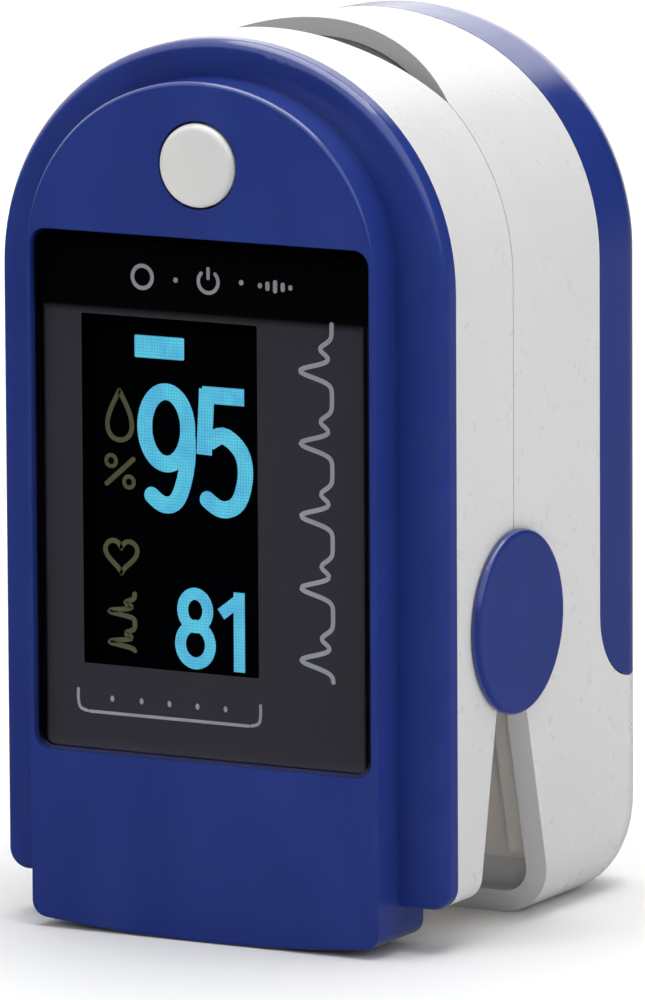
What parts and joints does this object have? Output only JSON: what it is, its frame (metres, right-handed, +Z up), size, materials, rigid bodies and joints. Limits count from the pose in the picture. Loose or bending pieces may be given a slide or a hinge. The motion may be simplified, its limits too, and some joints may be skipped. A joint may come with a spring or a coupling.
{
  "type": "fingertip pulse oximeter",
  "caption": "Fingertip clip sensor: an arched display half and a battery half on a sprung hinge, with a finger mouth on top, a window, a push button and a sliding battery cover.",
  "frame": {"origin": "middle of the body's underside, on the surface it stands on", "axes": "+Z up along the body towards the finger opening, -Y out of the display, +Y out of the battery cover, +X across the body"},
  "size_m": [0.0336, 0.0326, 0.058],
  "materials": {
    "blue_gloss": "glossy moulded plastic",
    "white_gloss": "glossy moulded plastic",
    "dark_window": "polished tinted acrylic",
    "pearl_button": "pearl lacquer",
    "display_glass": "polished glass over a black panel",
    "dark_plastic": "fine matt",
    "grey_plastic": "fine matt",
    "cream_plastic": "fine matt",
    "grey_silicone": "soft matt silicone",
    "circuit_board": "satin solder mask",
    "amber_film": "satin film",
    "ceramic": "fired ceramic",
    "clear_resin": "clear cast resin",
    "metal_trim": "plated sheet",
    "steel": "drawn and plated",
    "cell_jacket": "printed sleeve over a steel can"
  },
  "bodies": {
    "battery_half": {"lower_shell": "white_gloss", "lower_frame": "grey_plastic", "lower_liner": "grey_silicone", "sensor_board": "circuit_board", "photodiode": "dark_plastic", "sensor_socket": "cream_plastic", "back_screws": "steel", "battery_left": "cell_jacket", "battery_right": "cell_jacket", "cell_spring_left": "steel", "cell_spring_right": "steel", "contact_plates": "metal_trim", "contact_bridge": "metal_trim", "hinge_pin": "steel", "hinge_cap_right": "blue_gloss", "hinge_cap_left": "blue_gloss", "torsion_spring": "steel", "link_ribbon": "amber_film"},
    "display_half": {"front_cover": "blue_gloss", "display_window": "dark_window", "switch_body": "metal_trim", "main_board": "circuit_board", "display_panel": "display_glass", "display_frame": "dark_plastic", "display_flex": "amber_film", "processor_chip": "dark_plastic", "amplifier_chip": "dark_plastic", "boost_coil": "dark_plastic", "crystal": "metal_trim", "board_parts": "ceramic", "board_socket": "cream_plastic", "upper_shell": "white_gloss", "upper_frame": "grey_plastic", "upper_liner": "grey_silicone", "emitter_board": "circuit_board", "light_emitter": "clear_resin", "front_screws": "steel"},
    "button": {"power_button": "pearl_button", "switch_plunger": "dark_plastic"},
    "cover": {"battery_cover": "blue_gloss"}
  },
  "joints": [
    {"name": "squeeze_hinge", "type": "hinge", "parent": "battery_half", "child": "display_half", "pos_m": [0, -0.00373, 0.0203], "axis": [1, 0, 0], "range_deg": [0, 24], "stiffness_Nm_per_rad": 0.115, "springref_deg": -29.79, "deforming": ["torsion_spring", "link_ribbon"]},
    {"name": "power_button_press", "type": "slide", "parent": "display_half", "child": "button", "axis": [0, 1, 0], "range_m": [0, 0.0004], "stiffness_N_per_m": 800},
    {"name": "battery_cover_slide", "type": "slide", "parent": "battery_half", "child": "cover", "axis": [0, 0, 1], "range_m": [0, 0.046]}
  ]
}
